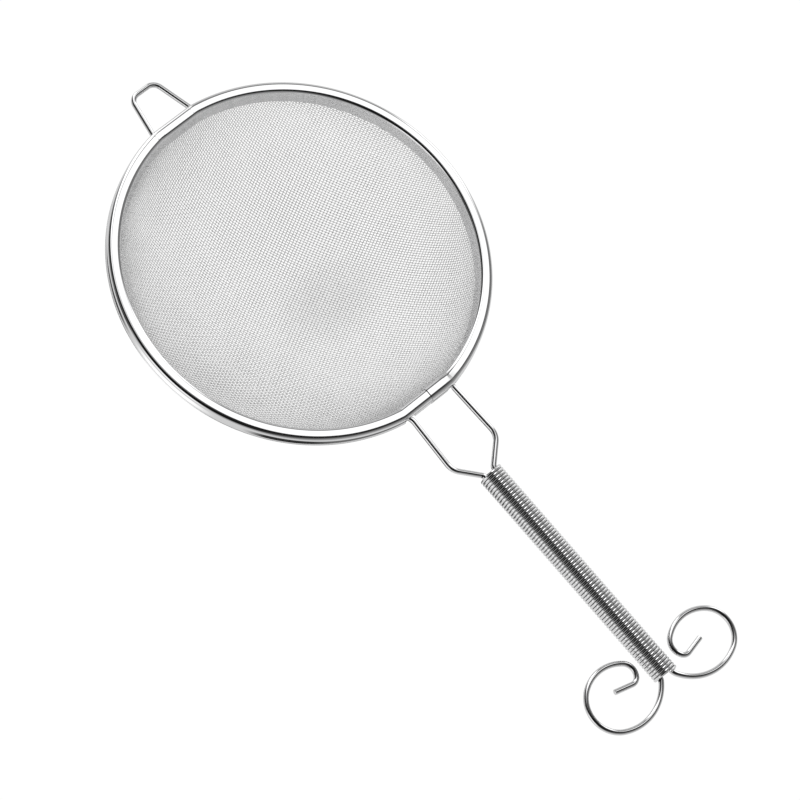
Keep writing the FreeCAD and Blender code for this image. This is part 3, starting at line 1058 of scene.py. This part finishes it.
    def _bundle(self, ring: Array, has_next: Array, kept: Array, group: Array) -> Skin:
        """Skin of a group of wires.

        Args:
            ring: ring points by wire, station and side.
            has_next: True where a station is joined to the next one.
            kept: True where a station is kept.
            group: numbers of the wires in this group.

        Returns:
            The closed skin of those wires.
        """
        ring, has_next, kept = ring[group], has_next[group], kept[group]
        wires, stations = kept.shape
        number = np.arange(wires * stations * self.sides).reshape(wires, stations, self.sides)
        turned = np.roll(number, -1, axis=2)
        joined = has_next[:, :-1]
        corners = [number[:, :-1], turned[:, :-1], turned[:, 1:], number[:, 1:]]
        quads = np.stack([corner[joined] for corner in corners], axis=-1).reshape(-1, 4)
        starts = kept & ~np.roll(has_next, 1, axis=1)
        ends = kept & ~has_next
        caps = np.concatenate([number[starts][:, ::-1], number[ends]])
        used, again = np.unique(np.concatenate([quads.ravel(), caps.ravel()]), return_inverse=True)
        faces = [again[:quads.size].reshape(-1, 4), again[quads.size:].reshape(-1, self.sides)]
        return Skin(ring.reshape(-1, 3)[used], faces).turned_out()

    def build(self) -> list[bpy.types.Object]:
        """Make both sets of wires and dress them."""
        made = []
        for lay in Lay:
            for index, skin in enumerate(self.skins(lay), start=1):
                piece = make_object(f"cloth_{lay.name.lower()}_{index}", skin)
                finish_piece(piece, "mesh_bowl", WOVEN_WIRE)
                made.append(piece)
        return made


# ---- the grip -----------------------------------------------------------------------------
@dataclass
class CoilGrip:
    """The close-wound coil round both handle wires."""

    wire: float = 1.73 * MM
    over_turns: float = 13.6 * MM
    pitch: float = 1.7475 * MM
    turns: float = 75.5
    start: float = 143.6 * MM
    level: float = -4.5 * MM
    per_turn: int = 52
    sides: int = 16
    chamfer: float = 0.12 * MM

    def skin(self) -> Skin:
        """Skin of the coil.

        The middle line is a helix about the handle's middle line: it turns at a constant rate and
        moves on by one pitch a turn. A ring point is the middle plus the wire's radius times a
        cosine outwards from the helix's axis and a sine along the helix's binormal.

        Returns:
            The closed skin, mapped by length and by distance around.
        """
        radius = (self.over_turns - self.wire) / 2
        angle = np.linspace(0.0, 2 * math.pi * self.turns, round(self.turns * self.per_turn) + 1)
        climb = self.pitch / (2 * math.pi)
        x = self.start + self.wire / 2 + climb * angle
        out = np.stack([np.zeros_like(angle), np.sin(angle), -np.cos(angle)], axis=1)
        along = np.stack([np.full_like(angle, climb), radius * np.cos(angle), radius * np.sin(angle)], axis=1)
        aside = np.cross(unit(along), out)
        middle = out * radius + np.stack([x, np.zeros_like(x), np.full_like(x, self.level)], axis=1)
        sizes = np.full(len(angle), self.wire / 2)
        sizes[[0, -1]] -= self.chamfer
        ring = np.arange(self.sides) * 2 * math.pi / self.sides
        points = (middle[:, None] + sizes[:, None, None] * (np.cos(ring)[None, :, None] * out[:, None]
                                                            + np.sin(ring)[None, :, None] * aside[:, None]))
        return tube(points, angle * math.hypot(radius, climb), math.pi * self.wire)

    def build(self) -> bpy.types.Object:
        """Make the coil and dress it."""
        piece = make_object("grip_coil", self.skin(), 40.0)
        finish_piece(piece, "coil_grip", SPRING_WIRE)
        return piece


# ---- studio -------------------------------------------------------------------------------
def direction(azimuth: float, elevation: float) -> Vector:
    """Unit vector towards an azimuth and an elevation in degrees."""
    az, el = math.radians(azimuth), math.radians(elevation)
    return Vector((math.cos(el) * math.cos(az), math.cos(el) * math.sin(az), math.sin(el)))


@dataclass(frozen=True)
class Panel:
    """A soft-edged panel of the studio, as polished metal sees it: a lit cloth or a dark one."""

    azimuth: float
    elevation: float
    half_width: float
    half_height: float
    light: float
    edge: float = 0.35

    def axes(self) -> tuple[Vector, Vector, Vector]:
        """The panel's direction and its two sides, the sides divided by the sines of its half sizes."""
        middle = direction(self.azimuth, self.elevation)
        across = direction(self.azimuth + 90.0, 0.0)
        upward = middle.cross(across)
        return (middle, across / math.sin(math.radians(self.half_width)),
                upward / math.sin(math.radians(self.half_height)))

    def share(self, graph: Graph, toward: Socket) -> Socket:
        """How far the panel covers what is behind it.

        Args:
            graph: nodes of the world.
            toward: socket with the direction looked at.

        Returns:
            The socket with 1 where that direction, measured along the panel's two sides, falls
            inside its oval, fading to 0 over its edge.
        """
        ahead, *sides = (graph.add("VectorMath", {0: toward, 1: axis}, operation="DOT_PRODUCT").outputs["Value"]
                         for axis in self.axes())
        squares = (graph.maths("MULTIPLY", part, part) for part in sides)
        oval = graph.maths("SQRT", graph.maths("ADD", *squares))
        inside = graph.between(oval, 1 - self.edge, 1 + self.edge, 1.0, 0.0)
        return graph.maths("MULTIPLY", inside, graph.maths("GREATER_THAN", ahead, 0.0))


@dataclass(frozen=True)
class Spot:
    """A soft-edged oval on the floor, and the light there."""

    x: float
    y: float
    half_x: float
    half_y: float
    light: float
    full: float = 0.6
    gone: float = 1.3

    def share(self, graph: Graph, place: Socket, low: float) -> Socket:
        """How far the spot covers the floor.

        Args:
            graph: nodes of the floor's material.
            place: socket with the place on the floor.
            low: height of the floor.

        Returns:
            The socket with 1 in the middle of the spot, fading to 0 outside it.
        """
        steps = {"SUBTRACT": (self.x, self.y, low), "DIVIDE": (self.half_x, self.half_y, 1.0)}
        for operation, vector in steps.items():
            place = graph.add("VectorMath", {0: place, 1: vector}, operation=operation).outputs["Vector"]
        away = graph.add("VectorMath", {0: place}, operation="LENGTH").outputs["Value"]
        return graph.between(away, self.full, self.gone, 1.0, 0.0)


@dataclass
class Studio:
    """A white sweep, lit and dark panels about the piece, and a long lens looking down."""

    azimuth: float = -74.0
    elevation: float = 64.8
    roll: float = 34.4
    target: tuple[float, float, float] = (0.0882, -0.0129, 0.0)
    distance: float = 1.07
    lens: float = 96.6
    sensor: float = 36.0
    floor_half: float = 6.0
    floor_gap: float = 1.0 * MM
    floor_colour: Colour = (0.9, 0.9, 0.9)
    floor_roughness: float = 0.9
    floor_white: float = 1.03
    floor_share: float = 0.97
    # Painted shadow under the bowl: in this patch the floor's glow gives way, so its real shading shows deeper.
    contact_shadow_patch: Spot = Spot(0.012, 0.028, 0.030, 0.042, 0.72, full=0.2, gone=1.0)
    floor_glow: float = 0.70
    ambient: float = 0.9
    walls: tuple[tuple[float, float], ...] = (
        (-1.0, 0.68), (-0.2, 0.62), (0.0, 0.43), (0.26, 0.38),
        (0.5, 0.28), (0.7, 0.14), (0.87, 0.03), (1.0, 0.01))
    panels: tuple[Panel, ...] = (
        Panel(-160.0, 5.0, 32.0, 26.0, 0.18), Panel(70.0, 25.0, 18.0, 28.0, 0.20),
        Panel(133.0, 8.0, 20.0, 26.0, 0.55), Panel(-158.0, 43.0, 19.0, 24.0, 0.03),
        Panel(-92.0, 2.0, 18.0, 25.0, 1.2), Panel(-128.0, 5.0, 9.0, 22.0, 0.04),
        Panel(-88.0, 48.0, 38.0, 23.0, 0.005), Panel(167.0, 32.0, 12.0, 42.0, 1.6),
        Panel(102.0, 18.0, 9.0, 30.0, 1.6), Panel(115.4, 62.7, 10.0, 10.0, 1.25))
    # Painted reflections on the floor, seen only by glossy rays: dark patches standing for the bowl's shadow
    # and one glowing patch as a highlight.
    painted_floor_reflections: tuple[Spot, ...] = (
        Spot(0.117, -0.010, 0.028, 0.075, 0.13), Spot(0.100, -0.084, 0.034, 0.030, 0.01),
        Spot(-0.085, -0.100, 0.038, 0.034, 0.03), Spot(0.003, -0.133, 0.038, 0.038, 1.2))

    def camera(self) -> None:
        """Place the camera on its line of sight and turn it about that line by the roll."""
        roll = math.radians(self.roll)
        back = direction(self.azimuth, self.elevation)
        level = (-back).cross(Vector((0, 0, 1))).normalized()
        upright = level.cross(-back)
        right = math.cos(roll) * level + math.sin(roll) * upright
        up = math.cos(roll) * upright - math.sin(roll) * level
        place = Matrix((right, up, back)).transposed().to_4x4()
        place.translation = Vector(self.target) + self.distance * back
        data = bpy.data.cameras.new("camera")
        data.lens = self.lens
        data.sensor_width = self.sensor
        data.clip_start = 0.05
        data.clip_end = 50.0
        camera = bpy.data.objects.new("camera", data)
        camera.matrix_world = place
        bpy.context.scene.collection.objects.link(camera)
        bpy.context.scene.camera = camera

    def floor(self) -> None:
        """Lay a wide white floor just under the bowl.

        The camera sees it white, with a faint shadow; under the bowl a painted shadow patch turns the glow
        down, so more of the floor's real shading shows there.
        Polished metal sees a greyer floor with painted reflections on it: dark patches that stand for the
        bowl's shadow and one glowing patch as a highlight.
        """
        low = float(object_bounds()[0][2]) - self.floor_gap
        square = np.array([[-1, -1], [1, -1], [1, 1], [-1, 1]]) * self.floor_half
        corners = np.column_stack([square, np.full(len(square), low)])
        floor = make_object("floor", Skin(corners, [np.array([[0, 1, 2, 3]])]))
        made = bpy.data.materials.new("white_sweep")
        graph = Graph(made)
        shader = graph.tree.nodes["Principled BSDF"]
        graph.fill(shader, {"Base Color": (*self.floor_colour, 1.0), "Roughness": self.floor_roughness,
                            "Specular IOR Level": 0.0})
        path, place = graph.add("LightPath"), graph.add("TexCoord").outputs["Object"]
        direct, glossy = graph.seen_directly(path), path.outputs["Is Glossy Ray"]
        light: Socket | float = self.floor_glow
        # Lay the painted reflections into the glow that polished metal sees.
        for painted_reflection in self.painted_floor_reflections:
            light = graph.covered(light, painted_reflection.share(graph, place, low), painted_reflection.light)
        strength = graph.maths("MAXIMUM", graph.maths("MULTIPLY", direct, self.floor_white),
                               graph.maths("MULTIPLY", glossy, light))
        glow = graph.add("Emission", {"Strength": strength})
        # Turn the glow down in the painted shadow patch under the bowl.
        share = graph.covered(self.floor_share, self.contact_shadow_patch.share(graph, place, low), self.contact_shadow_patch.light)
        glowing = graph.maths("MULTIPLY", graph.maths("MAXIMUM", direct, glossy), share)
        mix = graph.add("MixShader", {"Fac": glowing, 1: shader.outputs["BSDF"], 2: glow.outputs["Emission"]})
        graph.fill(graph.tree.nodes["Material Output"], {"Surface": mix.outputs["Shader"]})
        floor.data.materials.append(made)
        floor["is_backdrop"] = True

    def world(self) -> None:
        """A world that looks white directly, and like the walls and panels of a studio in metal."""
        world = bpy.data.worlds.new("studio")
        bpy.context.scene.world = world
        graph = Graph(world)
        toward = graph.add("TexCoord").outputs["Generated"]
        height = graph.add("SeparateXYZ", {0: toward}).outputs["Z"]
        rise = graph.add("MapRange", {"From Min": -1.0, "Value": height}).outputs["Result"]
        room = graph.ramp(rise, [((level + 1) / 2, (light, light, light)) for level, light in self.walls])
        for panel in self.panels:
            room = graph.covered(room, panel.share(graph, toward), panel.light)
        path = graph.add("LightPath")
        soft = graph.maths("MULTIPLY", path.outputs["Is Diffuse Ray"], self.ambient)
        shown = graph.maths("MAXIMUM", graph.maths("MAXIMUM", graph.seen_directly(path), soft), room)
        graph.fill(graph.tree.nodes["Background"], {"Strength": shown, "Color": (1.0, 1.0, 1.0, 1.0)})

    def build(self) -> None:
        """Set up the camera, the floor and the world."""
        self.camera()
        self.floor()
        self.world()


def main() -> None:
    """Build every sub-assembly in order, then the studio, and note the sizes."""
    logging.basicConfig(level=logging.INFO, format="%(name)s: %(message)s")
    bpy.context.scene.view_settings.view_transform = "Standard"
    RimBand().build()
    WireFrame().build()
    WovenBowl().build()
    CoilGrip().build()
    Studio().build()


if __name__ == "__main__":
    main()
